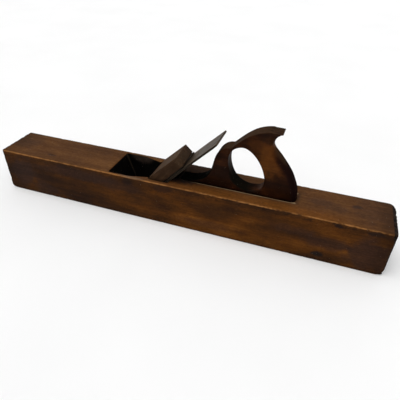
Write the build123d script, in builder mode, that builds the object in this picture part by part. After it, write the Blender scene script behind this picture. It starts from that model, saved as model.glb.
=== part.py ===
"""A wooden try plane: long stock, closed tote, forked wedge and a double iron on a sloping bed.

Frame: X runs from the toe (-) to the heel (+), Y across the stock, Z up from the sole.
The origin is the middle of the sole. All sizes are in millimetres.
"""
import os
from math import atan, cos, radians, sin, tan

from build123d import *

# Stock
stock_length = 711.0
stock_width = 84.0
stock_height = 84.0
toe_sole_radius = 9.0
heel_sole_radius = 4.0
heel_top_chamfer = 5.0
toe_top_radius = 2.5
end_corner_radius = 3.0
top_edge_radius = 2.0

# Bed, mouth and throat
bed_angle = 46.0            # degrees from the sole
bed_heel_x = -92.9          # where the bed meets the sole
mouth_front_x = -98.8       # front lip of the mouth
wear_height = 12.0          # the throat's front wall is nearly upright up to here
wear_top_x = -101.0
throat_front_x = -127.0     # front edge of the throat on top of the stock
throat_half_width = 36.5    # at the top, ahead of the abutments
mouth_half_width = 33.0     # also the slot for iron and wedge
abutment_half_gap = 26.5    # between the abutments at the top
eye_length = 36.0           # the cheeks run in to the abutments over this length
abutment_top_x = -50.0      # back of the abutments on top of the stock
wedge_angle = 12.0
groove_half_width = 13.0    # clears the head of the cap screw
groove_depth = 8.0
groove_start = 42.0         # along the bed, from the sole

# Irons
gap = 0.1                   # air between pieces that slide on each other
iron_length = 236.0
iron_edge = -1.8            # place of the cutting edge along the bed
iron_width = 63.5
iron_top_width = 57.0
iron_parallel_length = 60.0
iron_edge_thickness = 4.0
iron_top_thickness = 3.4
bevel_angle = 27.0
cap_setback = 1.5           # from the cutting edge to the lip of the cap iron
cap_length = 158.0
cap_thickness = 2.6
cap_top_width = 58.5
hump_length = 28.0
hump_height = 4.4
screw_place = 66.0          # from the cutting edge
screw_radius = 4.5
screw_running_fit = 0.05
screw_head_radius = 10.0
screw_head_height = 4.0
driver_slot_width = 1.8
driver_slot_depth = 1.8
iron_slot_width = 11.2
iron_slot_travel = 72.0     # from the screw's place to the keyhole
keyhole_radius = 12.0
boss_radius = 10.0
boss_height = 4.5
boss_spigot_radius = 7.0

# Wedge
wedge_half_width = 31.6
wedge_clearance = 0.7       # from the abutments
wedge_tine_end = 31.0       # along the bed
wedge_bend = 94.0           # above this the front face is cut back
wedge_top = 162.2            # near side; the far side is worn lower
wedge_top_far = 153.4
wedge_top_thickness = 18.1
fork_half_width = 18.5
fork_crotch = 84.0

# Tote
tote_half_width = 13.5
tote_foot_depth = 13.0
finger_hole_radius = 6.0    # rounding of its edges
tote_nose_x = 2.0
tote_heel_x = 201.5
tote_back_radius = 10.0

os.makedirs("parts", exist_ok=True)

half_length = stock_length / 2
wedge_rise = tan(radians(wedge_angle))
slot_front_x = mouth_front_x + 1
iron_slope = atan((iron_edge_thickness - iron_top_thickness) / iron_length)

slot_foot = stock_height - (abutment_top_x - slot_front_x) * tan(radians(bed_angle + wedge_angle))


def along(s, n):
    """The point (x, z) that lies s up the bed from the sole and n out from the bed."""
    c = cos(radians(bed_angle))
    d = sin(radians(bed_angle))
    return (bed_heel_x + s * c - n * d, s * d + n * c)


def abutment_x(z):
    """Where the abutments' back faces are at height z."""
    return abutment_top_x - (stock_height - z) / tan(radians(bed_angle + wedge_angle))


def iron_front(s):
    """Height of the iron's front face above the bed."""
    return gap + iron_edge_thickness - (s - iron_edge) * tan(iron_slope)


def wedge_front(s):
    """Height of the wedge's front face above the bed, just clear of the abutments."""
    c = cos(radians(bed_angle))
    d = sin(radians(bed_angle))
    rim_s = (abutment_top_x - bed_heel_x) * c + stock_height * d
    rim_n = stock_height * c - (abutment_top_x - bed_heel_x) * d
    return rim_n - wedge_clearance / cos(radians(wedge_angle)) + (s - rim_s) * wedge_rise


def abutment_outline(z, side):
    """Plan of one abutment at height z; it runs down to a point where the slot meets the mouth."""
    share = (z - slot_foot) / (stock_height - slot_foot)
    corners = (
        (abutment_top_x - eye_length, throat_half_width),
        (abutment_top_x + 2, abutment_half_gap),
        (abutment_top_x + 2, throat_half_width + 4),
        (abutment_top_x - eye_length, throat_half_width + 4),
    )
    return [
        (slot_front_x + (x - slot_front_x) * share, side * (mouth_half_width + (y - mouth_half_width) * share))
        for x, y in corners
    ]


# The bed seen square on: x runs up the bed, y across the stock
bed_face = Plane(
    origin=(bed_heel_x, 0, 0),
    x_dir=(cos(radians(bed_angle)), 0, sin(radians(bed_angle))),
    z_dir=(-sin(radians(bed_angle)), 0, cos(radians(bed_angle))),
)

# The space cut out of the stock, carried a little above its top
rim = stock_height + 10
with BuildPart() as throat_space:
    # shavings rise between the front wall and the wedge, between cheeks that lean out
    with BuildSketch(Plane.XZ):
        Polygon(
            (mouth_front_x, -3),
            (mouth_front_x, 0),
            (wear_top_x, wear_height),
            (throat_front_x, stock_height),
            (throat_front_x, rim),
            (abutment_x(rim) + 1, rim),
            (slot_front_x + 1, slot_foot),
            (slot_front_x + 1, -3),
            align=None,
        )
    extrude(amount=throat_half_width + 5, both=True)
    with BuildSketch(Plane.YZ):
        lean = (throat_half_width - mouth_half_width) / stock_height
        Polygon(
            (-mouth_half_width + 3 * lean, -3),
            (-mouth_half_width - rim * lean, rim),
            (mouth_half_width + rim * lean, rim),
            (mouth_half_width - 3 * lean, -3),
            align=None,
        )
    extrude(amount=-2 * throat_front_x, both=True, mode=Mode.INTERSECT)
    for side in (-1, 1):
        with BuildSketch(Plane.XY.offset(rim), mode=Mode.PRIVATE) as abutment_base:
            Polygon(*abutment_outline(rim, side), align=None)
        foot = Vertex(slot_front_x, side * mouth_half_width, slot_foot)
        loft([foot, abutment_base.sketch.face()], ruled=True, mode=Mode.SUBTRACT)
    # the slot for wedge and irons, between the bed and the abutments
    with BuildSketch(Plane.XZ):
        Polygon(
            along(-4, 0),
            along(170, 0),
            (abutment_x(rim), rim),
            (slot_front_x, slot_foot),
            (slot_front_x, -3),
            align=None,
        )
    extrude(amount=mouth_half_width, both=True)
    # the groove in the bed for the head of the cap screw
    with BuildSketch(Plane.XZ):
        Polygon(
            along(groove_start, 1),
            along(groove_start, 0),
            along(groove_start + groove_depth, -groove_depth),
            along(170, -groove_depth),
            along(170, 1),
            align=None,
        )
    extrude(amount=groove_half_width, both=True)

# The stock: a square beam with eased ends, then the throat, the wedge slot and the groove
with BuildPart() as stock:
    with BuildSketch(Plane.XZ) as beam_side:
        with Locations((0, stock_height / 2)):
            Rectangle(stock_length, stock_height)
        toe = beam_side.vertices().group_by(Axis.X)[0].sort_by(Axis.Y)
        heel = beam_side.vertices().group_by(Axis.X)[-1].sort_by(Axis.Y)
        fillet(toe[0], toe_sole_radius)
        fillet(toe[1], toe_top_radius)
        fillet(heel[0], heel_sole_radius)
        chamfer(heel[1], heel_top_chamfer)
    extrude(amount=stock_width / 2, both=True)
    with BuildSketch(Plane.YZ) as beam_end:
        with Locations((0, stock_height / 2)):
            Rectangle(stock_width, stock_height)
        fillet(beam_end.vertices().group_by(Axis.Y)[-1], top_edge_radius)
    extrude(amount=half_length, both=True, mode=Mode.INTERSECT)
    with BuildSketch(Plane.XY):
        RectangleRounded(stock_length, stock_width, end_corner_radius)
    extrude(amount=stock_height, mode=Mode.INTERSECT)

    add(throat_space.part, mode=Mode.SUBTRACT)

    # socket for the foot of the tote
    with BuildSketch(Plane.XY.offset(stock_height)):
        with Locations(((tote_nose_x + tote_heel_x) / 2, 0)):
            RectangleRounded(tote_heel_x - tote_nose_x, 2 * tote_half_width, tote_back_radius)
    extrude(amount=-tote_foot_depth, mode=Mode.SUBTRACT)
stock.part.label = "stock"

# The tote: a closed handle, its foot sunk in the stock
post_foot = (57.7, 116.5)
post_shoulder = (66.0, 145.0)
notch = (89.2, 160.2)
horn_top = (162.4, 197.0)
horn_tip = (166.5, 193.5)
neck = (153.8, 175.0)
grip_back = (189.1, 129.4)
hole_top = (104.4, 163.0)
hole_bottom = (128.6, 89.5)
with BuildPart() as tote:
    with BuildSketch(Plane.XZ):
        with BuildLine():
            Polyline(
                (tote_nose_x, stock_height + 1),
                (tote_nose_x, stock_height - tote_foot_depth),
                (tote_heel_x, stock_height - tote_foot_depth),
                (tote_heel_x, stock_height),
            )
            Spline((tote_nose_x, stock_height + 1), (28, 87), (47, 97), post_foot, post_shoulder,
                   (76.5, 156.5), notch)
            Spline(notch, (108.4, 179.3), (123.1, 189.7), (139.8, 196.2), horn_top)
            Line(horn_top, horn_tip)
            Spline(horn_tip, (157.5, 186.0), neck, (162.2, 162.7), (177.9, 144.8), grip_back,
                   (197.0, 111.4), (tote_heel_x - 0.6, 97), (tote_heel_x, stock_height))
        make_face()
        with BuildLine() as finger_hole:
            Spline(hole_top, (88.0, 150.0), (85.2, 135.0), (88.5, 119.0), (98.0, 101.5), (112.0, 92.0),
                   hole_bottom, (141.5, 93.5), (146.8, 107.0), (144.0, 125.0), (131.5, 148.0), (117.5, 160.5),
                   periodic=True)
        make_face(finger_hole.edges(), mode=Mode.SUBTRACT)
    extrude(amount=tote_half_width, both=True)
    with BuildSketch(Plane.XY.offset(stock_height - tote_foot_depth)):
        with Locations(((tote_nose_x + tote_heel_x) / 2, 0)):
            RectangleRounded(tote_heel_x - tote_nose_x, 2 * tote_half_width, tote_back_radius)
    extrude(amount=200, mode=Mode.INTERSECT)
    fillet(tote.edges().filter_by(lambda edge: edge.is_closed), finger_hole_radius)
tote.part.label = "tote"

# The wedge: tapered to the abutments, forked below, its front cut back above the stock
with BuildPart() as wedge:
    with BuildSketch(Plane.XZ):
        back_offset = cap_thickness + 2 * gap
        Polygon(
            along(wedge_tine_end, iron_front(wedge_tine_end) + back_offset),
            along(wedge_top, iron_front(wedge_top) + back_offset),
            along(wedge_top, iron_front(wedge_top) + back_offset + wedge_top_thickness),
            along(wedge_bend, wedge_front(wedge_bend)),
            along(wedge_tine_end, wedge_front(wedge_tine_end)),
            align=None,
        )
    extrude(amount=wedge_half_width, both=True)
    with BuildSketch(bed_face):
        with Locations(((fork_crotch - fork_half_width) / 2, 0)):
            Rectangle(fork_crotch - fork_half_width, 2 * fork_half_width)
        with Locations((fork_crotch - fork_half_width, 0)):
            Circle(fork_half_width)
    extrude(amount=60, mode=Mode.SUBTRACT)
    with BuildSketch(bed_face):
        Polygon(
            (wedge_top, -wedge_half_width),
            (wedge_top + 5, -wedge_half_width),
            (wedge_top + 5, wedge_half_width),
            (wedge_top_far, wedge_half_width),
            align=None,
        )
    extrude(amount=60, mode=Mode.SUBTRACT)
wedge.part.label = "wedge"

# The cutting iron: bevelled at the back of its edge, slotted, with a keyhole above
iron_top = iron_edge + iron_length
with BuildPart() as cutting_iron:
    with BuildSketch(Plane.XZ):
        Polygon(
            along(iron_edge, iron_front(iron_edge)),
            along(iron_top, iron_front(iron_top)),
            along(iron_top, gap),
            along(iron_edge + iron_edge_thickness / tan(radians(bevel_angle)), gap),
            align=None,
        )
    extrude(amount=iron_width / 2, both=True)
    with BuildSketch(bed_face):
        Polygon(
            (iron_edge - 1, -iron_width / 2),
            (iron_edge + iron_parallel_length, -iron_width / 2),
            (iron_top, -iron_top_width / 2),
            (iron_top, iron_top_width / 2),
            (iron_edge + iron_parallel_length, iron_width / 2),
            (iron_edge - 1, iron_width / 2),
            align=None,
        )
    extrude(amount=10, mode=Mode.INTERSECT)
    slot_middle = iron_edge + screw_place - 1.5 + iron_slot_travel / 2
    with BuildSketch(bed_face):
        with Locations((slot_middle, 0)):
            SlotCenterToCenter(iron_slot_travel, iron_slot_width)
        with Locations((iron_edge + screw_place + iron_slot_travel, 0)):
            Circle(keyhole_radius)
    extrude(amount=10, mode=Mode.SUBTRACT)
cutting_iron.part.label = "cutting_iron"

# The iron's front face carries the cap iron: x runs up from the cutting edge, y out from the face
edge_x, edge_z = along(iron_edge, iron_front(iron_edge))
face_angle = radians(bed_angle) - iron_slope
cap_side = Plane(origin=(edge_x, 0, edge_z), x_dir=(cos(face_angle), 0, sin(face_angle)), z_dir=(0, -1, 0))
cap_face = Plane(origin=(edge_x, 0, edge_z), x_dir=cap_side.x_dir, z_dir=cap_side.y_dir)
cap_top = cap_setback + cap_length
with BuildPart() as cap_iron:
    with BuildSketch(cap_side):
        with BuildLine():
            hump_end = cap_setback + hump_length
            hump_middle = cap_setback + hump_length * 0.42
            Line((hump_end, gap), (cap_top, gap))
            Line((cap_top, gap), (cap_top, gap + cap_thickness))
            Line((cap_top, gap + cap_thickness), (hump_end, gap + cap_thickness))
            ThreePointArc((hump_end, gap + cap_thickness), (hump_middle, hump_height), (cap_setback, gap + 0.4))
            Line((cap_setback, gap + 0.4), (cap_setback, gap))
            ThreePointArc((cap_setback, gap), (hump_middle, hump_height - cap_thickness), (hump_end, gap))
        make_face()
    extrude(amount=iron_width / 2, both=True)
    with BuildSketch(cap_face):
        Polygon(
            (0, -iron_width / 2),
            (iron_parallel_length, -iron_width / 2),
            (cap_top, -cap_top_width / 2),
            (cap_top, cap_top_width / 2),
            (iron_parallel_length, iron_width / 2),
            (0, iron_width / 2),
            align=None,
        )
    extrude(amount=10, mode=Mode.INTERSECT)
    with BuildSketch(cap_face):
        with Locations((screw_place, 0)):
            Circle(boss_spigot_radius)
    extrude(amount=10, mode=Mode.SUBTRACT)
cap_iron.part.label = "cap_iron"

# The boss riveted into the cap iron
with BuildPart() as cap_iron_boss:
    with BuildSketch(cap_face.offset(gap)):
        with Locations((screw_place, 0)):
            Circle(boss_spigot_radius)
    extrude(amount=cap_thickness)
    with BuildSketch(cap_face.offset(gap + cap_thickness)):
        with Locations((screw_place, 0)):
            Circle(boss_radius)
    extrude(amount=boss_height)
    with BuildSketch(cap_face):
        with Locations((screw_place, 0)):
            Circle(screw_radius + screw_running_fit)
    extrude(amount=20, mode=Mode.SUBTRACT)
    chamfer(cap_iron_boss.edges().filter_by(GeomType.CIRCLE).sort_by(SortBy.RADIUS)[-1], 0.8)
cap_iron_boss.part.label = "cap_iron_boss"

# The cap screw: head behind the iron, shank through the slot into the boss
head_seat = iron_edge_thickness - screw_place * sin(iron_slope) + 2 * gap
with BuildPart() as cap_screw:
    with BuildSketch(cap_face.offset(-head_seat)):
        with Locations((screw_place, 0)):
            Circle(screw_radius)
    extrude(amount=head_seat + gap + cap_thickness + boss_height - 0.5)
    with BuildSketch(cap_face.offset(-head_seat)):
        with Locations((screw_place, 0)):
            Circle(screw_head_radius)
    extrude(amount=-screw_head_height)
    with BuildSketch(cap_face.offset(-head_seat - screw_head_height)):
        with Locations((screw_place, 0)):
            Rectangle(driver_slot_width, 3 * screw_head_radius)
    extrude(amount=driver_slot_depth, mode=Mode.SUBTRACT)
cap_screw.part.label = "cap_screw"

for piece in (stock, tote, wedge, cutting_iron, cap_iron, cap_iron_boss, cap_screw):
    export_step(piece.part, f"parts/{piece.part.label}.step")
    print(piece.part.label, "volume", round(piece.part.volume), "valid", piece.part.is_valid)
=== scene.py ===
# %% [markdown]
# # An old wooden try plane
# The part is a long beech hand plane: a beam with an open handle, a cutting iron with its cap iron,
# and a wedge that holds them in a sloping throat. The measured solids come in as a fixed frame in
# metres. This lesson gives every piece its worn shape and its patina, and never changes a size.

import math
import random

import bmesh
import bpy
import numpy as np
from mathutils import Matrix, Vector, kdtree, noise


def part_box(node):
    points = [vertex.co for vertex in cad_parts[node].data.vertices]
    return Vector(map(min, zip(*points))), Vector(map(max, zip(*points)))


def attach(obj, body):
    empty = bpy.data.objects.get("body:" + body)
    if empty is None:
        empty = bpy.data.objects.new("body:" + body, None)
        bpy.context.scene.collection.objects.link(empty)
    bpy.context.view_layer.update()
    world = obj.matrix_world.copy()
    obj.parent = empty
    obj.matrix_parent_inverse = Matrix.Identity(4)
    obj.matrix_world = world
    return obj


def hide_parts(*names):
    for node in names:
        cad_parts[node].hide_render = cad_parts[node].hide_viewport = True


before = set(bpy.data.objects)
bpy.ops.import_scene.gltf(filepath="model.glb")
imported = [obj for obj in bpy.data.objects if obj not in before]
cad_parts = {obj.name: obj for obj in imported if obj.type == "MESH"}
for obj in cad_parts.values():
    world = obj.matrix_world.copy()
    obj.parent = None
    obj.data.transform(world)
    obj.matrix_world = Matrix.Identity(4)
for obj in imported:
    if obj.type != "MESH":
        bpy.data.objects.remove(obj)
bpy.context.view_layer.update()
MM = 0.001
print("nodes:", sorted(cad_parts))

# %% [markdown]
# ## Working copies
# A measured solid has flat facets and perfect edges, and generations of handling leave neither.
# A worn form could be sculpted by hand, but a voxel remesh does the same job in code: it wraps the
# solid in an even net of small quads, which can then be smoothed, dented and shaved point by point.
# The frame's own mesh must stay as it is, so each step works on a copy.

# %% Copy, remesh and read points
def copy_of(node, name):
    """A new object with a welded copy of a frame node's mesh."""
    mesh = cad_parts[node].data.copy()
    mesh.name = name
    welded = bmesh.new()
    welded.from_mesh(mesh)
    bmesh.ops.remove_doubles(welded, verts=welded.verts, dist=0.001 * MM)
    welded.to_mesh(mesh)
    welded.free()
    mesh.materials.clear()
    piece = bpy.data.objects.new(name, mesh)
    bpy.context.scene.collection.objects.link(piece)
    return piece


def apply_modifiers(piece):
    """Replaces the piece's mesh with what its modifiers make of it."""
    graph = bpy.context.evaluated_depsgraph_get()
    made = bpy.data.meshes.new_from_object(piece.evaluated_get(graph))
    piece.modifiers.clear()
    piece.data = made
    made.polygons.foreach_set("use_smooth", [True] * len(made.polygons))


def remesh(piece, size):
    """An even net of quads, size apart, around the piece."""
    net = piece.modifiers.new("net", "REMESH")
    net.mode = "VOXEL"
    net.voxel_size = size
    apply_modifiers(piece)
    print(piece.name, "has", len(piece.data.polygons), "quads")


def points_of(piece):
    """The piece's points, one row each."""
    flat = np.empty(len(piece.data.vertices) * 3)
    piece.data.vertices.foreach_get("co", flat)
    return flat.reshape(-1, 3)


def normals_of(piece):
    """The outward direction at each point."""
    flat = np.empty(len(piece.data.vertices) * 3)
    piece.data.vertex_normals.foreach_get("vector", flat)
    return flat.reshape(-1, 3)


def put_points(piece, points):
    """Moves the piece's points to these places."""
    piece.data.vertices.foreach_set("co", points.ravel())
    piece.data.update()


# %% [markdown]
# ## Three ways that wood wears
# Rubbing rounds an edge, blows dent it, and the grain swells and shrinks into faint waves. Rubbing is
# Laplacian smoothing: each point moves towards the middle of its neighbours, so edges sink and flats
# stay. Dents are small bowls pressed in along the surface normal. The waves are a slow noise that only
# ever takes wood away, so the piece can't grow past its measured size.

# %% Rub, dent and ripple
def rub(piece, rounds, weight=1.0):
    """Smooths the piece. weight may be one number or one for each point."""
    ends = np.empty(len(piece.data.edges) * 2, np.int64)
    piece.data.edges.foreach_get("vertices", ends)
    first, second = ends.reshape(-1, 2).T
    points = points_of(piece)
    count = np.bincount(first, minlength=len(points)) + np.bincount(second, minlength=len(points))
    share = 0.5 * np.broadcast_to(weight, len(points))
    for _ in range(rounds):
        middle = np.empty_like(points)
        for axis in range(3):
            total = np.bincount(first, points[second, axis], len(points))
            total += np.bincount(second, points[first, axis], len(points))
            middle[:, axis] = total / count
        points += (middle - points) * share[:, None]
    put_points(piece, points)


def dent(piece, blows):
    """Presses a bowl into the piece for each blow: a place, a radius and a depth."""
    points = points_of(piece)
    inward = -normals_of(piece)
    for place, radius, depth in blows:
        gap = np.linalg.norm(points - np.array(place), axis=1)
        near = gap < radius
        bowl = (1 - (gap[near] / radius) ** 2) ** 2
        points[near] += inward[near] * (depth * bowl)[:, None]
    put_points(piece, points)


def ripple(piece, length, depth, stretch=(1.0, 1.0, 1.0)):
    """Shaves up to depth off the surface, in waves of about that length."""
    points = points_of(piece)
    scaled = points * np.array(stretch) / length
    waves = np.array([noise.noise(Vector(p)) for p in scaled])
    shaved = depth * np.clip(0.5 + 0.5 * waves, 0, 1)
    put_points(piece, points - normals_of(piece) * shaved[:, None])


def soft_step(value, low, high):
    """0 below low and 1 above high, with a smooth rise between."""
    share = np.clip((value - low) / (high - low), 0, 1)
    return share * share * (3 - 2 * share)


# %% [markdown]
# ## The stock
# The stock is the long beech beam. Its long edges are rubbed round, and the edge on the near side is
# bruised all along, most of all behind the handle where the plane was set down and carried. The far
# corner of the heel is knocked off. The bruises come from a seeded random list, so they are the same
# on every run.

# %% Remesh and rub the stock
stock = copy_of("stock", "worn_stock")
remesh(stock, 1.6 * MM)
rub(stock, 2)
low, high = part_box("stock")
TOP = high.z
NEAR, FAR = low.y, high.y
TOE, HEEL = low.x, high.x

# %% Round the far corner of the heel
knocked_radius = 14 * MM
squash = 0.62
heel_points = points_of(stock)
from_x = heel_points[:, 0] - (HEEL - knocked_radius)
from_y = squash * (heel_points[:, 1] - (FAR - knocked_radius / squash))
from_centre = np.hypot(from_x, from_y)
outside = (from_x > 0) & (from_y > 0) & (from_centre > knocked_radius)
pull = 1 - knocked_radius / np.maximum(from_centre, MM)
pull *= soft_step(heel_points[:, 2], 0.3 * TOP, 0.8 * TOP)
heel_points[outside, 0] -= (from_x * pull)[outside]
heel_points[outside, 1] -= (from_y * pull)[outside] / squash
put_points(stock, heel_points)
print("points moved at the knocked corner:", int(outside.sum()))

# %% Draw up the list of blows
near_edge_blows, other_edge_blows, end_blows = 150, 70, 60
draw = random.Random(11)
blows = []
for _ in range(near_edge_blows):
    along = TOE + (HEEL - TOE) * draw.random() ** 0.7
    off = abs(draw.gauss(0, 2.2)) * MM
    place = (along, NEAR, TOP - off) if draw.random() < 0.75 else (along, NEAR + off, TOP)
    blows.append((place, draw.uniform(1.8, 4.6) * MM, draw.uniform(0.12, 0.5) * MM))
for _ in range(other_edge_blows):
    along = draw.uniform(TOE, HEEL)
    place = draw.choice([(along, FAR, TOP), (along, NEAR, low.z), (along, FAR, low.z)])
    blows.append((place, draw.uniform(2.0, 5.0) * MM, draw.uniform(0.12, 0.5) * MM))
for _ in range(end_blows):
    end = draw.choice([TOE, HEEL])
    place = draw.choice([(end, draw.uniform(NEAR, FAR), TOP), (end, NEAR, draw.uniform(low.z, TOP))])
    blows.append((place, draw.uniform(2.2, 6.0) * MM, draw.uniform(0.2, 0.7) * MM))
big_bruises = [
    ((272 * MM, NEAR, TOP - 6 * MM), 6 * MM, 0.9 * MM),
    ((326 * MM, NEAR, TOP - 7 * MM), 8 * MM, 0.7 * MM),
    ((252 * MM, NEAR, 14 * MM), 7 * MM, 0.8 * MM),
    ((-254 * MM, -24 * MM, TOP), 6 * MM, 0.6 * MM),
    ((HEEL, NEAR, low.z), 13 * MM, 2.8 * MM),
]
print("bruises:", len(blows) + len(big_bruises))

# %% Bruise the stock and wave its faces
dent(stock, blows + big_bruises)
ripple(stock, 60 * MM, 0.2 * MM, (0.4, 1.0, 1.0))
ripple(stock, 5 * MM, 0.12 * MM, (0.12, 1.0, 1.0))
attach(stock, "stock_body")
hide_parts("stock")
print("stock replaced by", stock.name)

# %% [markdown]
# ## The tote
# The tote is the closed handle: a post in front, a finger hole, a thick rounded grip behind and a
# horn that curls over the hand. It was sawn from a flat board and then rounded with a rasp, so it is
# made the same way here: its outline is sliced from the solid at mid thickness, cut from a flat board,
# and each edge is rounded by its own amount. Facets such as the top of the post keep crisp edges, and
# the grip is nearly a half round. A plain bevel has one width everywhere, so it can't do this.

# %% Slice the outline of the tote
def slice_outline(piece):
    """The closed loops of (x, z) points where the plane y = 0 cuts the piece."""
    cut = bmesh.new()
    cut.from_mesh(piece.data)
    everything = cut.verts[:] + cut.edges[:] + cut.faces[:]
    middle, across = (0, 0.01 * MM, 0), (0, 1, 0)
    bmesh.ops.bisect_plane(
        cut, geom=everything, plane_co=middle, plane_no=across, clear_inner=True, clear_outer=True
    )
    bmesh.ops.remove_doubles(cut, verts=cut.verts, dist=0.01 * MM)
    loops = []
    left = set(cut.verts)
    while left:
        start = min(left, key=lambda v: v.index)
        loop, here = [], start
        while here is not None and here in left:
            left.discard(here)
            loop.append((here.co.x, here.co.z))
            ways = [e.other_vert(here) for e in here.link_edges]
            here = next((v for v in ways if v in left), None)
        loops.append(np.array(loop))
    cut.free()
    return sorted((each for each in loops if len(each) > 8), key=lambda each: -np.ptp(each[:, 0]))


def even_loop(loop, step):
    """The same closed loop with points at an even step."""
    closed = np.vstack([loop, loop[:1]])
    run = np.concatenate([[0], np.cumsum(np.linalg.norm(np.diff(closed, axis=0), axis=1))])
    places = np.arange(0, run[-1], step)
    return np.stack([np.interp(places, run, closed[:, axis]) for axis in (0, 1)], 1)


tote_blank = copy_of("tote", "tote_blank")
outline, finger_hole = [even_loop(each, 0.4 * MM) for each in slice_outline(tote_blank)[:2]]
bpy.data.objects.remove(tote_blank)
print("outline points:", len(outline), "finger hole points:", len(finger_hole))

# %% Saw the tote from a flat board
tote_low, tote_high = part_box("tote")
half_thickness = tote_high.y

board = bpy.data.curves.new("tote_board", "CURVE")
board.dimensions = "2D"
board.fill_mode = "BOTH"
board.extrude = half_thickness
for loop in (outline, finger_hole):
    spline = board.splines.new("POLY")
    spline.points.add(len(loop) - 1)
    for point, (x, z) in zip(spline.points, loop):
        point.co = (x, z, 0, 1)
    spline.use_cyclic_u = True
sawn = bpy.data.objects.new("tote_board", board)
bpy.context.scene.collection.objects.link(sawn)
tote_mesh = bpy.data.meshes.new_from_object(sawn.evaluated_get(bpy.context.evaluated_depsgraph_get()))
bpy.data.objects.remove(sawn)
tote_mesh.transform(Matrix(((1, 0, 0, 0), (0, 0, 1, 0), (0, 1, 0, 0), (0, 0, 0, 1))))
tote = bpy.data.objects.new("shaped_tote", tote_mesh)
bpy.context.scene.collection.objects.link(tote)
remesh(tote, 0.95 * MM)

# %% Choose how round each edge is
foot_rounding, crisp_rounding, post_rounding, palm_rounding = 0.6 * MM, 1.6 * MM, 3.2 * MM, 10.5 * MM
grip_front = 150 * MM


def outer_edge_rounding(x, z):
    """The rounding of the tote's outer edge at a place on its outline."""
    if z < tote_low.z + 1.5 * MM:
        return foot_rounding
    if x > grip_front:
        return palm_rounding if z < tote_high.z - 12 * MM else crisp_rounding
    on_facets = z > 144 * MM and x > 60 * MM
    if z > 100 * MM and not on_facets:
        return post_rounding
    return crisp_rounding


def smooth_loop(values, half_width):
    """A running average round a closed loop."""
    window = np.ones(2 * half_width + 1) / (2 * half_width + 1)
    wrapped = np.concatenate([values[-half_width:], values, values[:half_width]])
    return np.convolve(wrapped, window, "valid")


outer_rounding = smooth_loop(np.array([outer_edge_rounding(x, z) for x, z in outline]), 12)
high_or_behind = (finger_hole[:, 1] > 125 * MM) | (finger_hole[:, 0] > 130 * MM)
hole_rounding = smooth_loop(np.where(high_or_behind, 3.0 * MM, 5.4 * MM), 20)
print("widest rounding:", round(outer_rounding.max() / MM, 1), "mm")

# %% Find which way is inward along the outline
edge_points = np.vstack([outline, finger_hole])
edge_rounding = np.concatenate([outer_rounding, hole_rounding])
inward_of_loops = []
for loop in (outline, finger_hole):
    tangent = np.roll(loop, -3, axis=0) - np.roll(loop, 3, axis=0)
    tangent /= np.linalg.norm(tangent, axis=1)[:, None]
    area = 0.5 * np.sum(loop[:, 0] * np.roll(loop[:, 1], -1) - loop[:, 1] * np.roll(loop[:, 0], -1))
    side = math.copysign(1, area) * (1 if loop is outline else -1)
    inward_of_loops.append(np.stack([-tangent[:, 1], tangent[:, 0]], 1) * side)
edge_inward = np.vstack(inward_of_loops)

tree = kdtree.KDTree(len(edge_points))
for index, (x, z) in enumerate(edge_points):
    tree.insert((x, z, 0), index)
tree.balance()
print("edge points:", len(edge_points))

# %% Rasp the edges round
on_face_depth, on_wall_depth = 0.6 * MM, 1.2 * MM
shaped = points_of(tote)
rim_gaps = np.zeros(len(shaped), np.float32)
for index, (x, y, z) in enumerate(shaped):
    _, nearest, gap = tree.find((x, z, 0))
    rim_gaps[index] = gap / MM
    radius = edge_rounding[nearest]
    on_face = half_thickness - abs(y) < on_face_depth
    up_wall = (abs(y) - (half_thickness - radius)) / radius
    if on_face and gap < radius:
        turn = math.radians(45 + 45 * gap / radius)
    elif not on_face and up_wall > 0 and gap < on_wall_depth:
        turn = math.radians(45 * min(up_wall, 1))
    else:
        continue
    sunk = radius * (1 - math.cos(turn))
    inward = edge_inward[nearest]
    shaped[index, 0] = edge_points[nearest, 0] + inward[0] * sunk
    shaped[index, 2] = edge_points[nearest, 1] + inward[1] * sunk
    shaped[index, 1] = math.copysign(half_thickness - radius + radius * math.sin(turn), y)
put_points(tote, shaped)
tote.data.attributes.new("rim_gap", "FLOAT", "POINT").data.foreach_set("value", rim_gaps)
rub(tote, 2)
print("rasped points:", int((rim_gaps * MM < edge_rounding.max()).sum()))

# %% [markdown]
# The horn has split along the grain near its tip, and the top of the split has broken away: a small
# step down, then a rough lower surface and a blunt tip. The grip is worn hollow by the palm, and the
# base narrows a little where it meets the beam. All of these are small moves of the same points.

# %% Break the horn
tote_points = points_of(tote)
top = tote_high.z
break_start = 149.5 * MM
broken = soft_step(tote_points[:, 0], break_start, break_start + 1.5 * MM)
broken *= soft_step(tote_points[:, 2], top - 6 * MM, top - 2 * MM)
tote_points[:, 2] -= broken * 0.9 * MM
tip = soft_step(tote_points[:, 0], 152 * MM, 160 * MM) * soft_step(tote_points[:, 2], 178 * MM, 184 * MM)
tote_points[:, 2] += 0.5 * tip * (top - 1.3 * MM - tote_points[:, 2])
tote_points[:, 0] += 1.2 * MM * tip
horn_reach = tote_points[tote_points[:, 2] > top - 16 * MM, 0].max()
lower_corner = soft_step(tote_points[:, 0], horn_reach - 10 * MM, horn_reach)
lower_corner *= 1 - soft_step(tote_points[:, 2], top - 4.5 * MM, top - 1 * MM)
lower_corner *= soft_step(tote_points[:, 2], top - 14 * MM, top - 11 * MM)
tote_points[:, 2] += 2.0 * MM * lower_corner
tote_points[:, 0] -= 0.4 * MM * lower_corner
print("the horn reaches to", round(horn_reach / MM, 1), "mm")

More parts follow.
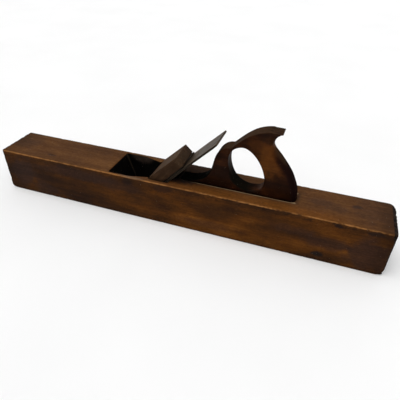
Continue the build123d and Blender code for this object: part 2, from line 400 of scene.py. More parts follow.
# %% Hollow the grip and narrow the base
held = soft_step(tote_points[:, 0], 148 * MM, 162 * MM) * soft_step(tote_points[:, 2], 104 * MM, 124 * MM)
held *= 1 - soft_step(tote_points[:, 2], 172 * MM, 184 * MM)
tote_points[:, 0] -= 1.0 * MM * held
tote_points[:, 1] *= 1 - 0.03 * (1 - soft_step(tote_points[:, 2], TOP, TOP + 22 * MM))
put_points(tote, tote_points)
tip_end = soft_step(tote_points[:, 0], horn_reach - 6 * MM, horn_reach - 2 * MM)
tip_end *= soft_step(tote_points[:, 2], top - 14 * MM, top - 11 * MM)
rub(tote, 12, tip_end)
ripple(tote, 14 * MM, 0.3 * MM, (0.6, 1.0, 1.0))
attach(tote, "stock_body")
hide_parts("tote")
print("tote replaced by", tote.name)

# %% [markdown]
# ## The wedge
# The wedge is a forked slip of beech that jams the iron against its bed. Its top end has been struck
# with a hammer for years, so the end grain is mushroomed and its corners are gone. The rub is weighted
# here: the end gets more rounds of smoothing than the rest. The part inside the throat is planed a
# little thinner, so that it stays free of the worn stock when the iron slides down.

# %% Shape the wedge
slope = math.radians(46)
up_bed = np.array([math.cos(slope), 0, math.sin(slope)])
off_bed = np.array([-math.sin(slope), 0, math.cos(slope)])
wedge = copy_of("wedge", "struck_wedge")
remesh(wedge, 0.8 * MM)
rub(wedge, 1)
heights = points_of(wedge) @ up_bed
top_end = heights.max()
rub(wedge, 4, soft_step(heights, top_end - 18 * MM, top_end - 3 * MM))
print("the wedge ends", round(top_end / MM), "mm up the bed")

# %% Mushroom the end and thin the buried part
wedge_points = points_of(wedge)
spread = soft_step(wedge_points @ up_bed, top_end - 40 * MM, top_end - 6 * MM)
wedge_points += spread[:, None] * (0.8 * MM * up_bed + 0.2 * MM * off_bed)
buried = 1 - soft_step(wedge_points[:, 2], TOP - 6 * MM, TOP)
front_facing = np.clip(normals_of(wedge) @ off_bed, 0, 1)
wedge_points -= (0.6 * MM * buried * front_facing)[:, None] * off_bed
wedge_points[:, 1] *= 1 - 0.009 * buried
put_points(wedge, wedge_points)
print("buried points:", int((buried > 0.5).sum()))

# %% Strike the wedge
draw = random.Random(5)
hammer_blows = []
struck = np.flatnonzero(wedge_points @ up_bed > top_end - 12 * MM)
for _ in range(26):
    place = wedge_points[struck[draw.randrange(len(struck))]]
    hammer_blows.append((tuple(place), draw.uniform(2.0, 6.0) * MM, draw.uniform(0.2, 0.7) * MM))
dent(wedge, hammer_blows)
ripple(wedge, 11 * MM, 0.15 * MM)
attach(wedge, "wedge_body")
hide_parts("wedge")
print("hammer blows:", len(hammer_blows))

# %% [markdown]
# ## The irons
# The cutting iron and the cap iron are forged plates. Hammering the iron to adjust it leaves its top
# edge bruised and slightly turned over, with a nick in the near corner. A fine net keeps the plates
# thin and flat, and two rounds of rubbing take the glassy sharpness off the arrises.

# %% Forge the cutting iron
plate_net = 0.62 * MM
iron = copy_of("cutting_iron", "forged_iron")
remesh(iron, plate_net)
rub(iron, 2)
iron_points = points_of(iron)
iron_top_end = (iron_points @ up_bed).max()
at_corners = soft_step(iron_points @ up_bed, iron_top_end - 9 * MM, iron_top_end - 2 * MM)
at_corners *= soft_step(np.abs(iron_points[:, 1]), 20 * MM, 27 * MM)
rub(iron, 14, at_corners)
iron_points = points_of(iron)
sprung = soft_step(iron_points @ up_bed, 0.6 * iron_top_end, iron_top_end)
put_points(iron, iron_points - sprung[:, None] * 1.2 * MM * off_bed)

# %% Bruise its edges
draw = random.Random(3)
iron_points = points_of(iron)
half_width = iron_points[:, 1].max()
edge = np.flatnonzero((iron_points[:, 2] > TOP) & (np.abs(iron_points[:, 1]) > 0.94 * half_width))
nick = ((60.5 * MM, iron_points[:, 1].min() + 1.5 * MM, 160 * MM), 3.2 * MM, 1.0 * MM)
edge_blows = [nick]
for _ in range(40):
    place = iron_points[edge[draw.randrange(len(edge))]]
    edge_blows.append((tuple(place), draw.uniform(1.5, 4.0) * MM, draw.uniform(0.15, 0.5) * MM))
dent(iron, edge_blows)
ripple(iron, 9 * MM, 0.12 * MM)
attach(iron, "iron_body")
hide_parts("cutting_iron")
print("blows on the iron:", len(edge_blows))

# %% Forge the cap iron
cap_iron = copy_of("cap_iron", "forged_cap_iron")
remesh(cap_iron, plate_net)
rub(cap_iron, 2)
ripple(cap_iron, 9 * MM, 0.1 * MM)
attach(cap_iron, "cap_iron_body")
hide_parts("cap_iron")

# %% [markdown]
# ## The boss and its screw
# The turned brass boss and the steel screw already have their true shape, so they stay as they are.
# Only a fine bevel is added, because no filed edge is perfectly sharp. Their points are welded first:
# a bevel only works across an edge that two faces share.

# %% Ease the small turned pieces
for node in ("cap_iron_boss", "cap_screw"):
    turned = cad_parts[node]
    weld = turned.modifiers.new("weld", "WELD")
    weld.merge_threshold = 0.002 * MM
    ease = turned.modifiers.new("eased_edges", "BEVEL")
    ease.width = 0.25 * MM
    ease.segments = 2
    ease.limit_method = "ANGLE"
    ease.angle_limit = math.radians(35)
    print(node, "eased")

# %% [markdown]
# ## Writing shaders as sums
# A finish is a net of nodes, and long nets are hard to read. The small class below wraps one output
# socket, so that a mask can be written as 1 - streak * 0.3 and the Math nodes appear by themselves.
# Colours go through Mix and Vector Math nodes, because a Math node would turn them grey.

# %% A wire that can be added and multiplied
class Wire:
    """One output socket of a node tree, which sums and products turn into Math nodes."""

    def __init__(self, tree, socket=None):
        self.tree = tree
        self.socket = socket

    def node(self, kind, settings=None, inputs=None, output=0):
        """Adds any node: its settings first, then values or wires for its sockets."""
        made = self.tree.nodes.new(kind)
        for name, value in (settings or {}).items():
            if name == "stops":
                fill_ramp(made.color_ramp, value)
            else:
                setattr(made, name, value)
        for name, value in (inputs or {}).items():
            if isinstance(value, Wire):
                self.tree.links.new(value.socket, made.inputs[name])
            else:
                made.inputs[name].default_value = value
        return Wire(self.tree, made.outputs[output])

    def maths(self, operation, *terms):
        return self.node("ShaderNodeMath", {"operation": operation}, dict(enumerate(terms)))

    def __add__(self, other):
        return self.maths("ADD", self, other)

    def __radd__(self, other):
        return self.maths("ADD", other, self)

    def __sub__(self, other):
        return self.maths("SUBTRACT", self, other)

    def __rsub__(self, other):
        return self.maths("SUBTRACT", other, self)

    def __mul__(self, other):
        return self.maths("MULTIPLY", self, other)

    def __rmul__(self, other):
        return self.maths("MULTIPLY", other, self)


# %% Ramp stops and tints
def fill_ramp(ramp, stops):
    """Sets a colour ramp's stops: (place, colour) pairs."""
    while len(ramp.elements) < len(stops):
        ramp.elements.new(0.5)
    for element, (place, colour) in zip(ramp.elements, stops):
        element.position = place
        element.color = colour


def tint(red, green, blue):
    """A colour from the familiar 0 to 255 scale, as the linear numbers that a shader wants."""
    shares = [level / 255 for level in (red, green, blue)]
    linear = [c / 12.92 if c < 0.0405 else ((c + 0.055) / 1.055) ** 2.4 for c in shares]
    return (*linear, 1)


# %% [markdown]
# ## A small paint box
# Every finish below is built from the same few moves: a soft mask that rises between two values, a
# cloud of noise of a known size, a ragged oval blot, a coat of one colour over another, a shade that
# only lightens or darkens, and a bump. Each is a short function, so that a recipe reads as a list.

# %% Masks, clouds and coats of colour
def rise(value, low, high):
    """0 below low and 1 above high. With low above high it falls instead."""
    return value.node("ShaderNodeMapRange", {"interpolation_type": "SMOOTHSTEP"}, {0: value, 1: low, 2: high})


def vector(place, operation, other):
    """Vector Math on a place and another vector."""
    return place.node("ShaderNodeVectorMath", {"operation": operation}, {0: place, 1: other})


def length(offset):
    """How long a vector is."""
    return offset.node("ShaderNodeVectorMath", {"operation": "LENGTH"}, {0: offset}, "Value")


def axes_of(place):
    """The x, y and z of a place, as three wires."""
    split = place.node("ShaderNodeSeparateXYZ", {}, {0: place})
    return [Wire(place.tree, axis) for axis in split.socket.node.outputs]


def cloud(place, size, detail=3.0, stretch=(1, 1, 1), rough=0.55):
    """Noise with lumps of about that size in millimetres, longer where stretch is small."""
    scaled = vector(place, "MULTIPLY", tuple(s / size for s in stretch))
    inputs = {"Vector": scaled, "Scale": 1.0, "Detail": detail, "Roughness": rough}
    return place.node("ShaderNodeTexNoise", {}, inputs)


def spot(place, centre, radii, ragged=0.6, size=9.0):
    """1 inside an oval blot with a ragged rim, in millimetres."""
    offset = vector(vector(place, "SUBTRACT", centre), "DIVIDE", radii)
    return rise(length(offset) + (cloud(place, size) - 0.5) * (2 * ragged), 1.15, 0.55)


def coat(under, over, mask):
    """Colour over laid on colour under where mask is 1."""
    return mask.node("ShaderNodeMix", {"data_type": "RGBA"}, {0: mask, 6: under, 7: over}, 2)


def shade(colour, amount):
    """The colour made lighter or darker by a wire or a number."""
    return colour.node("ShaderNodeVectorMath", {"operation": "SCALE"}, {0: colour, 3: amount})


def ramp(value, *stops):
    """A colour for each value, through a few stops."""
    return value.node("ShaderNodeValToRGB", {"stops": stops}, {0: value})


def bump(height, distance, strength=1.0, normal=None):
    """A normal that leans as the height changes, up to distance in metres."""
    inputs = {"Strength": strength, "Distance": distance, "Height": height}
    if normal is not None:
        inputs["Normal"] = normal
    return height.node("ShaderNodeBump", {}, inputs)


# %% Turn a recipe into a material
def finish_named(name, recipe):
    """A material whose Principled shader takes each socket that the recipe returns."""
    material = bpy.data.materials.new(name)
    material.use_nodes = True
    tree = material.node_tree
    shader = tree.nodes["Principled BSDF"]
    place = Wire(tree).node("ShaderNodeTexCoord", output="Object")
    millimetres = place.node("ShaderNodeVectorMath", {"operation": "SCALE"}, {0: place, 3: 1000.0})
    for socket, value in recipe(millimetres).items():
        if isinstance(value, Wire):
            tree.links.new(value.socket, shader.inputs[socket])
        else:
            shader.inputs[socket].default_value = value
    print(name, "has", len(tree.nodes), "nodes")
    return material


# %% [markdown]
# ## Beech, close up
# Beech has long fine pores that show as dark dashes, short shiny flecks where rays are cut through,
# and soft bands from one year to the next. All of them run along the beam, so one recipe stretches its
# noise a long way in x. It gives four numbers for each place: bands, streaks, pores and flecks.

# %% The grain of beech
def beech_grain(place):
    """Slow bands, fine streaks, pores and ray flecks, each from 0 to 1."""
    wander = cloud(place, 90, 2, (0.4, 1, 1))
    bent = vector(place, "ADD", wander.node("ShaderNodeCombineXYZ", {}, {1: wander * 10, 2: wander * 7}))
    bands = cloud(bent, 11, 3, (0.05, 1, 1))
    streaks = cloud(bent, 2.2, 4, (0.035, 1, 1), 0.65)
    pores = rise(cloud(bent, 0.55, 2, (0.09, 1, 1)), 0.62, 0.74)
    flecks = rise(cloud(place, 0.8, 1, (0.28, 1, 0.45)), 0.66, 0.78)
    return bands, streaks, pores, flecks


# %% [markdown]
# ## The patina of the stock
# Oil, wax, sweat and soot have turned the beech from pink to deep brown. The sides are a mottled
# orange brown under dark patches. The top is greyer and more even, with a warm polished zone along the
# near edge, where the forearm and the left hand rub, and a painted highlight laid over it. The bruised
# edge is dark in its dents and pale on its crown, and its arris line is part wear, part painted
# highlight. Both ends are dark, because end grain drinks oil. The throat is black with old grime and
# painted shade, with a painted pool of light on its far cheek, and the iron casts a painted shadow on
# the top behind it.
# Each of these is one coat of colour with its own mask, laid in the order that they arrived.

# %% Lay several blots of one tone
toe, heel = TOE / MM, HEEL / MM
top_z, near_y = TOP / MM, NEAR / MM


def blots(colour, place, tone, marks, ragged, size):
    """Lays a blot of the tone for each mark: its centre, its three radii and its depth."""
    for centre, radii, depth in marks:
        colour = coat(colour, tone, spot(place, centre, radii, ragged, size) * depth)
    return colour


print("the top is at", round(top_z), "mm and the near side at", round(near_y), "mm")

# %% Colour the sides
def side_colour(place, lumps, broad, bands):
    """Orange brown in long clouds, under dark patches."""
    wood = ramp(
        lumps * 0.58 + broad * 0.35 + bands * 0.3 - 0.12,
        (0.36, tint(40, 23, 13)),
        (0.47, tint(57, 33, 13)),
        (0.57, tint(76, 43, 13)),
        (0.70, tint(104, 62, 21)),
    )
    patches = (
        ((-318, near_y, 44), (36, 9, 34), 0.8),
        ((-272, near_y, 16), (30, 9, 16), 0.6),
        ((-190, near_y, 66), (95, 9, 13), 0.65),
        ((-110, near_y, 60), (50, 9, 14), 0.4),
        ((205, near_y, 52), (38, 9, 10), 0.5),
        ((262, near_y, 40), (42, 9, 16), 0.55),
        ((325, near_y, 34), (44, 9, 36), 0.75),
        ((60, near_y, 20), (60, 9, 10), 0.35),
    )
    return blots(wood, place, tint(48, 33, 27), patches, 0.7, 22)


# %% Colour the top
def top_colour(place, lumps, broad, bands, fine):
    """Greyer than the sides, with a warm worn zone along the near edge that also carries a painted highlight.
    """
    x, y, _ = axes_of(place)
    wood = ramp(
        lumps * 0.4 + broad * 0.3 + bands * 0.3,
        (0.36, tint(68, 43, 25)),
        (0.50, tint(84, 54, 29)),
        (0.66, tint(106, 71, 40)),
    )
    # Polish from rubbing, with a painted highlight laid over it along the near edge.
    polish_and_highlight = rise(y, near_y + 30, near_y + 8) * rise(x, -60, 40) * rise(x, heel - 30, heel - 120)
    wood = coat(wood, tint(102, 60, 20), polish_and_highlight * (0.35 + fine * 0.7))
    patches = (
        ((-328, 10, top_z), (30, 34, 9), 0.35),
        ((240, 4, top_z), (26, 12, 9), 0.45),
        ((268, -6, top_z), (24, 10, 9), 0.4),
        ((297, 11, top_z), (9, 5, 9), 0.85),
        ((-254, -24, top_z), (11, 4, 9), 0.7),
        ((330, 10, top_z), (40, 44, 9), 0.4),
        ((-20, 39, top_z), (90, 5, 9), 0.3),
    )
    return blots(wood, place, tint(56, 40, 32), patches, 0.6, 12)


# %% Colour the end grain
def end_colour(place):
    """Dark wavy rings round the heart of the tree, which lay below the beam."""
    heart = (0, 26, -70)
    ring_spacing = 1.7
    from_heart = length(vector(vector(place, "SUBTRACT", heart), "MULTIPLY", (0, 1, 1)))
    rings = from_heart * ring_spacing + cloud(place, 14, 3) * 5
    tone = rings.maths("SINE", rings) * 0.2 + cloud(place, 3, 4, (0.1, 0.6, 1.4), 0.7)
    return ramp(tone, (0.30, tint(19, 16, 15)), (0.55, tint(36, 27, 22)), (0.75, tint(54, 41, 31)))


# %% Wear and stain the edges, with a painted highlight and the iron's painted shadow
def worn_edges(colour, place, crown, dips, wood_face):
    """Pale crowns, dark dips, a pale arris that is part wear and part painted highlight, deep bruises along
    the near edge, and stains together with the iron's painted shadow.
    """
    x, y, z = axes_of(place)
    edge_noise = cloud(place, 9, 4, (0.3, 1, 1), 0.7)
    worn = rise(crown, 0.515, 0.575) * rise(edge_noise, 0.35, 0.6)
    colour = coat(colour, tint(124, 88, 54), worn * 0.7 * wood_face)
    colour = coat(colour, tint(42, 27, 17), dips * 0.5)

    from_arris = length(vector(vector(place, "SUBTRACT", (0, near_y, top_z)), "MULTIPLY", (0, 1, 1)))
    # The pale line on the near arris is part wear and part painted highlight.
    worn_arris_highlight = rise(from_arris, 2.8, 1.2) * (0.3 + rise(edge_noise, 0.42, 0.56) * 0.7) * wood_face
    colour = coat(colour, tint(142, 96, 52), worn_arris_highlight)

    below_edge = rise(z, top_z - 13, top_z - 6) * rise(y, near_y + 2.5, near_y + 0.8) * rise(x, -40, 90)
    bruised = rise(cloud(place, 4.5, 3, (0.4, 1, 1), 0.7), 0.5, 0.62) * below_edge
    colour = coat(colour, tint(36, 23, 14), bruised * 0.8)
    stains_and_iron_shadow = (
        ((252, near_y, 14), (11, 6, 6), 0.95),
        # The next three blots on the top, round the back of the iron, are painted shadow of the iron. The
        # others are stains.
        ((4, -8, top_z), (40, 22, 9), 0.95),
        ((-2, -4, top_z), (30, 18, 9), 0.9),
        ((38, 30, top_z), (62, 20, 9), 0.6),
        ((272, near_y, 78), (7, 6, 4), 0.85),
        ((326, near_y, 77), (14, 6, 5), 0.55),
        ((-87, near_y, 74), (12, 9, 8), 0.6),
        ((-20, near_y, 74), (22, 9, 8), 0.6),
    )
    return blots(colour, place, tint(30, 22, 19), stains_and_iron_shadow, 0.5, 6)


# %% Blacken the throat
def throat_colour(colour, place, inside):
    """Grime and painted shade on the walls of the throat, a painted pool of light on the far cheek, and a
    pale seam down the far front corner.
    """
    x, y, z = axes_of(place)
    # The black is old grime and painted shade deep in the throat.
    throat_grime_and_shade = ramp(cloud(place, 16, 4), (0.4, tint(4, 4, 3)), (0.7, tint(11, 9, 7)))
    colour = coat(colour, throat_grime_and_shade, inside * rise(z, top_z + 3, top_z - 3))
    # A painted pool of light on the upper far cheek, bounded by the near rim's shadow.
    far_cheek_light_pool = spot(place, (-92, 38, top_z), (28, 14, 17), 0.12, 8)
    colour = coat(colour, tint(52, 42, 36), far_cheek_light_pool * inside * 0.9)
    seam = x + z * 0.36 + 96.8
    seam_line = rise(seam.maths("ABSOLUTE", seam), 1.6, 0.5) * rise(y, 30, 33) * rise(z, 25, 50)
    return coat(colour, tint(44, 37, 28), seam_line * inside * 0.8)


# %% Gather dirt round the handle, and a pale line beside it
def foot_colour(colour, place, across, on_top):
    """Dirt in the corner round the handle's foot, and a thin pale line along each side of it."""
    x, _, _ = axes_of(place)
    foot = place.node("ShaderNodeAttribute", {"attribute_name": "foot_gap"}, output="Fac")
    colour = coat(colour, tint(40, 31, 24), rise(foot, 9, 2) * on_top * 0.5)
    beside = rise(across, 17.2, 16.0) * rise(across, 12.4, 13.0)
    along = rise(x, 20, 40) * rise(x, 204, 200)
    patchy = 0.5 + rise(cloud(place, 9, 4, (0.3, 1, 1), 0.7), 0.4, 0.55) * 0.5
    return coat(colour, tint(150, 128, 98), beside * along * on_top * patchy)


# %% Mix the stock's finish
def stock_recipe(place):
    x, y, z = axes_of(place)
    bands, streaks, pores, flecks = beech_grain(place)
    lumps = cloud(place, 34, 4, (0.45, 1, 1))
    broad = cloud(place, 120, 2, (0.5, 1, 1))
    fine = cloud(place, 6, 4, (0.35, 1, 1), 0.7)
    speckle = cloud(place, 2.6, 3, (0.55, 1, 1), 0.75)
    on_top = rise(z, top_z - 2.6, top_z - 0.9)
    side = side_colour(place, lumps, broad, bands)
    colour = coat(side, top_colour(place, lumps, broad, bands, fine), on_top)

    ends = rise(x, toe + 5, toe + 1) + rise(x + rise(z, 68, 80) * 3.6, heel - 3.4, heel - 1.4)
    colour = coat(colour, end_colour(place), ends)
    near_ends = rise(x, toe + 46, toe + 4) * 0.3 + rise(x, heel - 40, heel - 4) * 0.45
    colour = shade(colour, 1 - near_ends * (0.4 + fine))
    colour = shade(colour, streaks * 0.65 + fine * 0.65 + speckle * 1.15 - 0.25)
    colour = shade(colour, 1 - pores * 0.4)
    colour = coat(colour, tint(112, 74, 38), flecks * 0.22)
    # Darker towards the bottom of the sides, and painted shade on the far top arris, whose rounding turns
    # from the light.
    dark_bottom_and_shaded_arris = rise(z, 6, 1) * 0.5 + rise(y, 39.5, 41.5) * rise(z, top_z - 6, top_z - 1) * 0.6
    colour = coat(colour, tint(34, 23, 15), dark_bottom_and_shaded_arris)

    crown = place.node("ShaderNodeNewGeometry", output="Pointiness")
    dips = rise(crown, 0.492, 0.455)
    colour = worn_edges(colour, place, crown, dips, 1 - ends)
    across = y.maths("ABSOLUTE", y)
    inside = rise(across, 41.2, 40.2) * rise(z, top_z - 0.9, top_z - 2.0)
    inside = inside * rise(x, toe + 30, toe + 40) * rise(x, heel - 30, heel - 40)
    colour = throat_colour(colour, place, inside)
    colour = foot_colour(colour, place, across, on_top)
    # A painted highlight on the rim of the near cheek, beside the wedge.
    near_rim_highlight = spot(place, (-78, -39.5, top_z), (26, 3, 4), 0.3, 8)
    colour = coat(colour, tint(104, 84, 66), near_rim_highlight * 0.6)
    dust = rise(cloud(place, 1.1, 0), 0.86, 0.9)
    colour = coat(colour, tint(196, 184, 166), dust * 0.7)

    faces = bump(streaks * 0.5 + fine * 0.5 - pores * 0.5, 0.35 * MM, 0.5)
    return {
        "Base Color": colour,
        "Roughness": 0.50 + lumps * 0.22 - fine * 0.12 + dips * 0.2 + inside * 0.3 + streaks * 0.08,
        "Normal": bump(cloud(place, 13, 3, (0.3, 1, 1)), 1.2 * MM, 0.35, faces),
        "Specular IOR Level": 0.03,
    }


# %% [markdown]
# The dirt round the handle needs to know how far it is from the handle, which no noise can tell. So
# that distance is measured here for every point, and kept on the mesh as an attribute.

# %% Measure how far each point is from the handle
tote_front = min(x for x, z in outline if abs(z - TOP) < 2 * MM)
tote_back = max(x for x, z in outline if abs(z - TOP) < 2 * MM)
half_foot = half_thickness * 0.93
stock_points = points_of(stock) / MM
past_front = np.maximum(tote_front / MM - stock_points[:, 0], stock_points[:, 0] - tote_back / MM)
past_side = np.abs(stock_points[:, 1]) - half_foot / MM
gap_to_foot = np.hypot(np.maximum(past_front, 0), np.maximum(past_side, 0))
foot_gap = stock.data.attributes.new("foot_gap", "FLOAT", "POINT")
foot_gap.data.foreach_set("value", gap_to_foot.astype(np.float32))
print("the tote stands from", round(tote_front / MM), "to", round(tote_back / MM), "mm")

stock.data.materials.clear()
stock.data.materials.append(finish_named("oiled_beech_stock", stock_recipe))

# %% [markdown]
# ## The tote's finish
# The handle is darker and redder than the beam, and the grip is polished by the palm, with a painted
# orange highlight on it. The flat top of the post and of the horn were never held, so they stay grey
# brown and dull. Fine dark splits run along the grain at the broken horn. Painted shade darkens the
# back of the grip, the neck under the horn and the wall of the finger hole, and the iron casts a
# painted shadow on the nose of the handle.

# %% Find the worn, the dirty and the shaded places of the tote
def tote_masks(place, rim, lumps):
    """Painted shade on the back of the grip, the dull flats, the splits, painted shadow on the nose, and
    painted shade on the wall of the hole.
    """
    x, _, z = axes_of(place)
    facing = axes_of(place.node("ShaderNodeNewGeometry", output="Normal"))[2]
    grip_back_shade = rise(rim + lumps * 8, 17, 7) * rise(x, 146, 166) * rise(z, 186, 150)
    dull = rise(facing, 0.45, 0.75) * rise(z, 140, 150) * rise(cloud(place, 12, 3), 0.25, 0.45)
    splits = rise(cloud(place, 1.6, 2, (0.03, 0.6, 1)), 0.56, 0.62) * rise(z, 186, 196) * rise(x, 136, 150)
    nose_shadow = rise(facing, 0.15, 0.5) * rise(z, 128, 112) * rise(x, 70, 56)
    hole_wall_shade = rise(rim, 6, 1) * rise(x, 84, 96) * rise(x, 140, 118) * rise(z, 150, 136)
    return grip_back_shade, dull, splits, nose_shadow, hole_wall_shade


# %% Colour the wood of the tote
def tote_wood(place, bands, lumps, fine):
    """Dark red brown, with a painted orange highlight on the polished grip and a dark front post."""
    wood = ramp(
        lumps * 0.5 + bands * 0.5,
        (0.36, tint(22, 10, 5)),
        (0.50, tint(35, 16, 6)),
        (0.64, tint(56, 28, 8)),
    )
    # Painted highlight: the orange glow on the polished grip.
    grip_highlight = spot(place, (155, -13, 156), (26, 30, 38), 0.45, 14)
    wood = coat(wood, tint(92, 52, 16), grip_highlight * (0.3 + fine * 0.6))
    post_dark = spot(place, (56, -13, 104), (62, 30, 26), 0.5, 14)
    return coat(wood, tint(27, 13, 6), post_dark * 0.6)


# %% Mix the tote's finish
def tote_recipe(place):
    x, _, z = axes_of(place)
    bands, streaks, pores, flecks = beech_grain(place)
    lumps = cloud(place, 26, 4)
    fine = cloud(place, 4, 4, (0.5, 1, 1), 0.7)
    rim = place.node("ShaderNodeAttribute", {"attribute_name": "rim_gap"}, output="Fac")
    grip_back_shade, dull, splits, nose_shadow, hole_wall_shade = tote_masks(place, rim, lumps)
    colour = tote_wood(place, bands, lumps, fine)
    colour = shade(colour, 0.4 + streaks * 0.6 + fine * 0.6)
    colour = shade(colour, 1 - pores * 0.35)
    colour = coat(colour, tint(92, 56, 26), flecks * 0.16)
    # Painted shade down the back of the grip, which turns away from the light.
    colour = coat(colour, tint(22, 11, 11), grip_back_shade * 0.9)
    # A weaker painted highlight under the horn.
    polish_and_highlight = spot(place, (138, -13, 172), (26, 20, 12), 0.6, 12)
    colour = coat(colour, tint(80, 44, 15), polish_and_highlight * 0.35)
    # Painted shade on the neck under the horn.
    neck_shade = spot(place, (150, -13, 186), (16, 20, 12), 0.6, 10)
    colour = coat(colour, tint(24, 13, 9), neck_shade * 0.7)
    colour = coat(colour, tint(57, 41, 29), dull * 0.85)
    colour = coat(colour, tint(22, 16, 12), splits * 0.9)

    crown = place.node("ShaderNodeNewGeometry", output="Pointiness")
    worn = rise(crown, 0.53, 0.60) * rise(fine, 0.4, 0.6)
    colour = coat(colour, tint(100, 72, 46), worn * 0.4)
    colour = coat(colour, tint(24, 17, 13), rise(crown, 0.485, 0.44) * 0.7)
    colour = shade(colour, 1 - rise(z, top_z + 5, top_z + 0.5) * 0.45)
    # Painted shadow of the iron on the low front of the handle.
    colour = coat(colour, tint(14, 13, 10), rise(x, 30, 8) * rise(z, 96, 86) * 0.6)
    # Painted shadow of the iron on the nose, broken by a faint painted sheen.
    colour = coat(colour, ramp(fine, (0.4, tint(3, 3, 2)), (0.7, tint(20, 19, 14))), nose_shadow)
    # Painted shade on the wall of the finger hole.
    colour = coat(colour, tint(14, 13, 9), hole_wall_shade * 0.95)
    dust = rise(cloud(place, 0.9, 0), 0.87, 0.9)
    colour = coat(colour, tint(190, 180, 165), dust * 0.6)
    return {
        "Base Color": colour,
        "Roughness": 0.42 + lumps * 0.16 + (dull + splits) * 0.3 + (nose_shadow + hole_wall_shade + grip_back_shade) * 0.45,
        "Normal": bump(streaks * 0.6 + fine * 0.4 - pores * 0.5, 0.25 * MM, 0.45),
        "Coat Weight": (1 - dull) * (1 - nose_shadow) * (1 - hole_wall_shade) * (1 - grip_back_shade) * 0.04,
        "Coat Roughness": 0.22,
        "Specular IOR Level": 0.01,
    }


tote.data.materials.clear()
tote.data.materials.append(finish_named("handled_beech_tote", tote_recipe))

# %% [markdown]
# ## The wedge's finish
# The wedge is the driest wood on the plane: dusty, grey brown and matt, paler on the broad front face
# and bruised to a felt of fibres at its struck end. Its grain runs up the slope, so the place is turned
# by the bed angle before the beech recipe reads it.

# %% Mix the wedge's finish
def laid_along_bed(place):
    """The place turned so that its x runs up the bed."""
    turn = {"Vector": place, "Angle": slope}
    return place.node("ShaderNodeVectorRotate", {"rotation_type": "Y_AXIS"}, turn)


def wedge_recipe(place):
    laid = laid_along_bed(place)
    bands, streaks, pores, flecks = beech_grain(laid)
    lumps = cloud(laid, 18, 4, (0.6, 1, 1))
    fine = cloud(laid, 3.5, 4, (0.5, 1, 1), 0.7)
    colour = ramp(
        lumps * 0.5 + bands * 0.5,
        (0.36, tint(36, 25, 16)),
        (0.50, tint(48, 33, 22)),
        (0.64, tint(64, 45, 30)),
    )
    normal = place.node("ShaderNodeNewGeometry", output="Normal")
    toe_ward = rise(axes_of(normal)[0] * -1, 0.35, 0.6)
    colour = coat(colour, tint(76, 57, 41), toe_ward * 0.6)
    near_end = rise(axes_of(laid)[0], top_end / MM - 10, top_end / MM - 2)
    colour = coat(colour, tint(66, 50, 36), near_end * 0.6)
    colour = shade(colour, 0.4 + streaks * 0.6 + fine * 0.6)
    colour = shade(colour, 1 - pores * 0.3)
    stain = spot(place, (-40, -24, 98), (16, 12, 9), 0.7, 7)
    colour = coat(colour, tint(60, 42, 30), stain * 0.5)
    crown = place.node("ShaderNodeNewGeometry", output="Pointiness")
    worn = rise(crown, 0.53, 0.60) * rise(fine, 0.4, 0.6)
    colour = coat(colour, tint(108, 86, 64), worn * 0.6)
    colour = coat(colour, tint(34, 25, 19), rise(crown, 0.485, 0.44) * 0.6)
    # Painted shade: the wedge is darker down inside the throat.
    in_throat = rise(axes_of(place)[2], top_z + 1, top_z - 8)
    colour = shade(colour, 1 - in_throat * 0.6)
    colour = coat(colour, tint(112, 92, 70), flecks * 0.2)
    return {
        "Base Color": colour,
        "Roughness": 0.66 + lumps * 0.16 - fine * 0.1,
        "Normal": bump(streaks * 0.5 + fine * 0.5 - pores * 0.4, 0.3 * MM, 0.6),
        "Specular IOR Level": 0.02,
    }


wedge.data.materials.clear()
wedge.data.materials.append(finish_named("dusty_beech_wedge", wedge_recipe))

# %% [markdown]
# ## Old iron and brass
# The plates were forge black, then polished at the cutting end only. Handling has left a brown grey
# skin with fine scratches along the plate, small pits and a little rust. Where the skin is thick the
# surface is no longer metal, so rust lowers Metallic as well as changing the colour.

# %% Mix the steel finishes
def steel_recipe(place, light, dark, rust_amount):
    """Skin, scratches, pits and rust on a forged plate, with painted shade on the side edges."""
    laid = laid_along_bed(place)
    skin = cloud(laid, 22, 5, (0.7, 1, 1), 0.6)
    scratches = cloud(laid, 0.5, 3, (0.02, 1, 1), 0.7)
    pits = rise(cloud(laid, 1.3, 3), 0.62, 0.72)
    rust = rise(cloud(laid, 12, 5, (1, 1, 1), 0.7), 0.5, 0.68) * rust_amount
    colour = ramp(skin, (0.35, dark), (0.65, light))
    colour = shade(colour, 0.8 + scratches * 0.4)
    colour = coat(colour, tint(58, 42, 30), rust)
    colour = coat(colour, tint(24, 20, 17), pits * 0.6)
    # The side edges get painted shade, as they turn from the light.
    normal = place.node("ShaderNodeNewGeometry", output="Normal")
    sideways = axes_of(normal)[1]
    side_edge_shade = rise(sideways.maths("ABSOLUTE", sideways), 0.6, 0.85)
    colour = coat(colour, tint(30, 25, 20), side_edge_shade * 0.85)
    return {
        "Base Color": colour,
        "Metallic": 0.42 - rust * 0.35 - pits * 0.1,
        "Roughness": 0.48 + skin * 0.2 + rust * 0.2 - scratches * 0.1,
        "Specular IOR Level": 0.06,
        "Normal": bump(scratches * 0.3 + skin * 0.5 - pits * 0.8, 0.12 * MM, 0.5),
    }


def iron_recipe(place):
    return steel_recipe(place, tint(76, 63, 48), tint(52, 42, 32), 0.8)


# The cap iron is darker than the cutting iron. Past the wedge's end, this dark skin also serves as painted
# shadow of the wedge on the iron.
def cap_iron_recipe(place):
    return steel_recipe(place, tint(48, 41, 33), tint(28, 24, 19), 0.5)


def screw_recipe(place):
    return steel_recipe(place, tint(120, 114, 106), tint(80, 72, 64), 0.5)


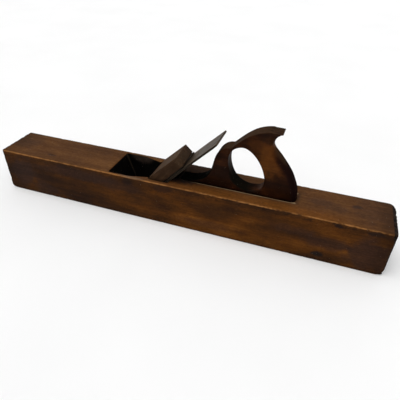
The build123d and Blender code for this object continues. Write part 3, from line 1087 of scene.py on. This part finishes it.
def brass_recipe(place):
    skin = cloud(place, 7, 5, (1, 1, 1), 0.6)
    spots = rise(cloud(place, 1.6, 3), 0.6, 0.72)
    colour = ramp(skin, (0.35, tint(96, 72, 38)), (0.65, tint(158, 124, 66)))
    colour = coat(colour, tint(52, 44, 28), spots * 0.7)
    return {
        "Base Color": colour,
        "Metallic": 0.95 - spots * 0.4,
        "Roughness": 0.36 + skin * 0.2,
        "Normal": bump(skin - spots * 0.6, 0.1 * MM, 0.4),
    }


# %% Finish the irons, the boss and the screw
iron.data.materials.clear()
iron.data.materials.append(finish_named("brown_forged_iron", iron_recipe))
cap_iron.data.materials.clear()
cap_iron.data.materials.append(finish_named("dark_cap_iron", cap_iron_recipe))
for node, name, recipe in (
    ("cap_screw", "steel_screw", screw_recipe),
    ("cap_iron_boss", "tarnished_brass", brass_recipe),
):
    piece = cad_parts[node]
    finish = finish_named(name, recipe)
    if piece.material_slots:
        for each in piece.material_slots:
            each.material = finish
    else:
        piece.data.materials.append(finish)

# %% [markdown]
# ## Floor, light and camera
# The plane lies on a plain pale floor in a bright room. The floor is a wide disc that curves up into a
# wall far away on every side, as paper does in a studio, so no view meets an edge. One wide soft sun
# gives the top its sheen and leaves the near side a step darker, and the pale world fills the rest.
# The camera stands in front, a little to the right of the middle, and looks down along the beam.

# %% Draw the floor's profile
flat_radius, sweep_radius, wall_height = 5.0, 2.5, 4.5
sweep_steps, around = 12, 64
profile = [(0.4, 0.0), (flat_radius, 0.0)]
for step in range(1, sweep_steps + 1):
    turn = math.radians(90 * step / sweep_steps)
    profile.append((flat_radius + sweep_radius * math.sin(turn), sweep_radius * (1 - math.cos(turn))))
profile.append((flat_radius + sweep_radius, wall_height))
print("profile points:", len(profile))

# %% Spin the profile into a floor
floor_points = [(0.0, 0.0, 0.0)]
for out, up in profile:
    for spoke in range(around):
        turn = 2 * math.pi * spoke / around
        floor_points.append((out * math.cos(turn), out * math.sin(turn), up))
floor_faces = [(0, 1 + spoke, 1 + (spoke + 1) % around) for spoke in range(around)]
for ring in range(len(profile) - 1):
    inner = 1 + ring * around
    outer = inner + around
    for spoke in range(around):
        following = (spoke + 1) % around
        floor_faces.append((inner + spoke, outer + spoke, outer + following, inner + following))
floor_mesh = bpy.data.meshes.new("pale_floor")
floor_mesh.from_pydata(floor_points, [], floor_faces)
floor_mesh.polygons.foreach_set("use_smooth", [True] * len(floor_faces))
floor = bpy.data.objects.new("pale_floor", floor_mesh)
floor.location.z = -0.1 * MM
bpy.context.scene.collection.objects.link(floor)


def floor_recipe(place):
    paper = cloud(place, 300, 2)
    pale, paler = (0.90, 0.90, 0.90, 1), (0.93, 0.93, 0.93, 1)
    return {"Base Color": ramp(paper, (0.3, pale), (0.7, paler)), "Roughness": 0.9}


floor_mesh.materials.append(finish_named("pale_floor", floor_recipe))

# %% Hang the light
world = bpy.data.worlds.new("bright_room")
world.use_nodes = True
background = world.node_tree.nodes["Background"]
background.inputs["Color"].default_value = (1.0, 1.0, 1.0, 1)
background.inputs["Strength"].default_value = 0.50
bpy.context.scene.world = world

window = bpy.data.lights.new("window_light", "SUN")
window.energy = 1.75
window.angle = math.radians(50)
window_light = bpy.data.objects.new("window_light", window)
window_light.rotation_euler = Vector((0.30, 0.35, -1.6)).to_track_quat("-Z", "Y").to_euler()
bpy.context.scene.collection.objects.link(window_light)
bpy.context.scene.view_settings.view_transform = "Standard"
print("sun", window.energy, "world", background.inputs["Strength"].default_value)

# %% Stand the camera
camera_data = bpy.data.cameras.new("viewpoint")
camera_data.sensor_width = 36.0
camera_data.lens = 34.904
camera_data.clip_start = 0.01
camera_data.clip_end = 60
camera = bpy.data.objects.new("viewpoint", camera_data)
stand = Vector((0.21722, -0.54145, 0.44895))
yaw, pitch, roll = math.radians(-18.560), math.radians(35.756), math.radians(1.436)
forward = Vector((math.sin(yaw) * math.cos(pitch), math.cos(yaw) * math.cos(pitch), -math.sin(pitch)))
level = Vector((math.cos(yaw), -math.sin(yaw), 0))
upright = level.cross(forward)
right = math.cos(roll) * level + math.sin(roll) * upright
upward = math.cos(roll) * upright - math.sin(roll) * level
facing = Matrix((right, upward, -forward)).transposed().to_4x4()
camera.matrix_world = Matrix.Translation(stand) @ facing
bpy.context.scene.collection.objects.link(camera)
bpy.context.scene.camera = camera
print("the camera stands", round(stand.length, 2), "m from the middle")
